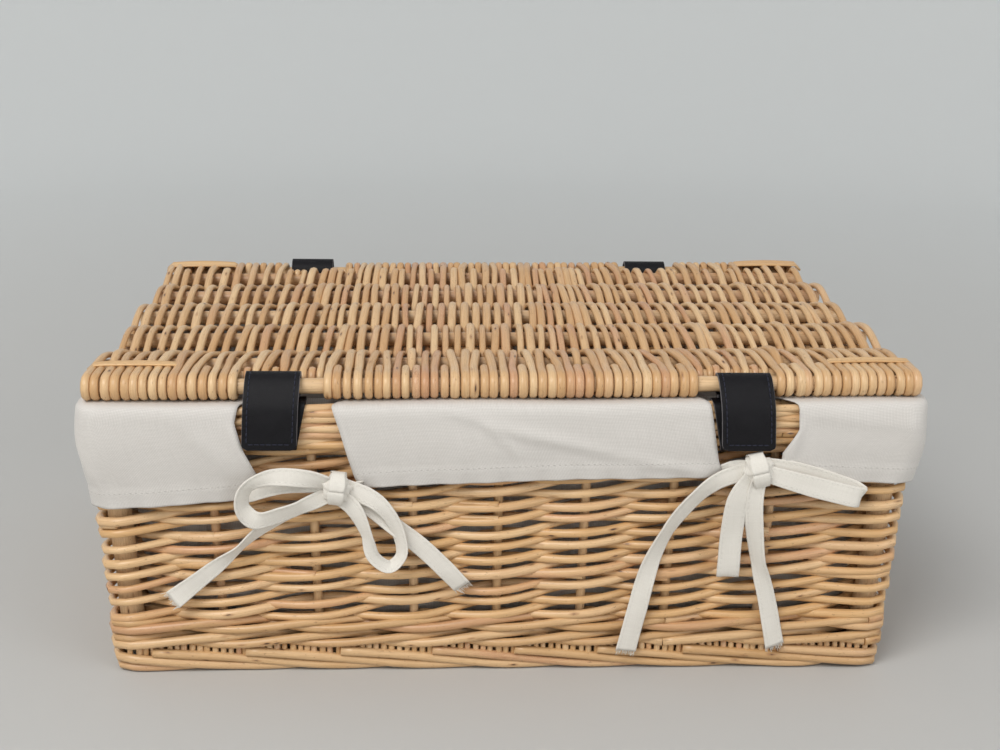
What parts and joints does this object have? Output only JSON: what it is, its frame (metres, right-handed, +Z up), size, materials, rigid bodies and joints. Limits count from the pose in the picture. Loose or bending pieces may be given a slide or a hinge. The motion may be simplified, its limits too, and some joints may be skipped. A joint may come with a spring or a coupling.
{
  "type": "lidded willow hamper",
  "caption": "Lidded rectangular willow hamper with a full woven lid on leather loop hinges, snap-down front straps and a cotton liner with tie tapes.",
  "frame": {"origin": "centre of the overall box at floor level, under the foot border", "axes": "+Z up, front (strap) side at -Y, +X to the right seen from the front"},
  "size_m": [0.4568, 0.3142, 0.1796],
  "materials": {
    "woven_rods": "satin varnished buff willow",
    "sticks": "satin varnished peeled sticks",
    "cotton": "plain unbleached cotton",
    "tie_tape": "folded and stitched cotton tape",
    "leatherette": "soft matt near-black with dark blue stitching",
    "stud_metal": "plain nickel"
  },
  "bodies": {
    "basket": {"foot_border": "woven_rods", "lower_wale": "woven_rods", "front_weave": "woven_rods", "back_weave": "woven_rods", "left_weave": "woven_rods", "right_weave": "woven_rods", "top_border": "woven_rods", "base_weave": "woven_rods", "base_sticks": "sticks", "front_stakes": "sticks", "back_stakes": "sticks", "left_stakes": "sticks", "right_stakes": "sticks", "post_front_left": "sticks", "post_front_right": "sticks", "post_back_left": "sticks", "post_back_right": "sticks", "liner_tub": "cotton", "flap_front_left": "cotton", "flap_front_middle": "cotton", "flap_front_right": "cotton", "flap_back_left": "cotton", "flap_back_middle": "cotton", "flap_back_right": "cotton", "flap_left_end": "cotton", "flap_right_end": "cotton", "left_bow_knot": "tie_tape", "left_bow_outer_tape": "tie_tape", "left_bow_inner_tape": "tie_tape", "right_bow_knot": "tie_tape", "right_bow_inner_tape": "tie_tape", "right_bow_outer_tape": "tie_tape", "hinge_strap_left": "leatherette", "strap_keeper_left": "leatherette", "stud_ball_left": "stud_metal", "hinge_strap_right": "leatherette", "strap_keeper_right": "leatherette", "stud_ball_right": "stud_metal"},
    "lid": {"lid_weave": "woven_rods", "lid_front_stick": "sticks", "lid_front_inner_stick": "sticks", "lid_back_stick": "sticks", "lid_stick_1": "sticks", "lid_stick_2": "sticks", "lid_stick_3": "sticks", "lid_stick_4": "sticks", "lid_stick_5": "sticks", "corner_binding_front_left": "woven_rods", "corner_binding_front_right": "woven_rods", "corner_binding_back_left": "woven_rods", "corner_binding_back_right": "woven_rods"},
    "strap_left": {"front_strap_left": "leatherette", "stud_socket_left": "stud_metal"},
    "strap_right": {"front_strap_right": "leatherette", "stud_socket_right": "stud_metal"}
  },
  "joints": [
    {"name": "lid_hinge", "type": "hinge", "parent": "basket", "child": "lid", "pos_m": [0, 0.14584, 0.1695], "axis": [-1, 0, 0], "range_deg": [0, 110]},
    {"name": "front_strap_left_swing", "type": "hinge", "parent": "lid", "child": "strap_left", "pos_m": [-0.1245, -0.13776, 0.1695], "axis": [-1, 0, 0], "range_deg": [0, 120]},
    {"name": "front_strap_right_swing", "type": "hinge", "parent": "lid", "child": "strap_right", "pos_m": [0.1275, -0.13776, 0.1695], "axis": [-1, 0, 0], "range_deg": [0, 120]}
  ]
}
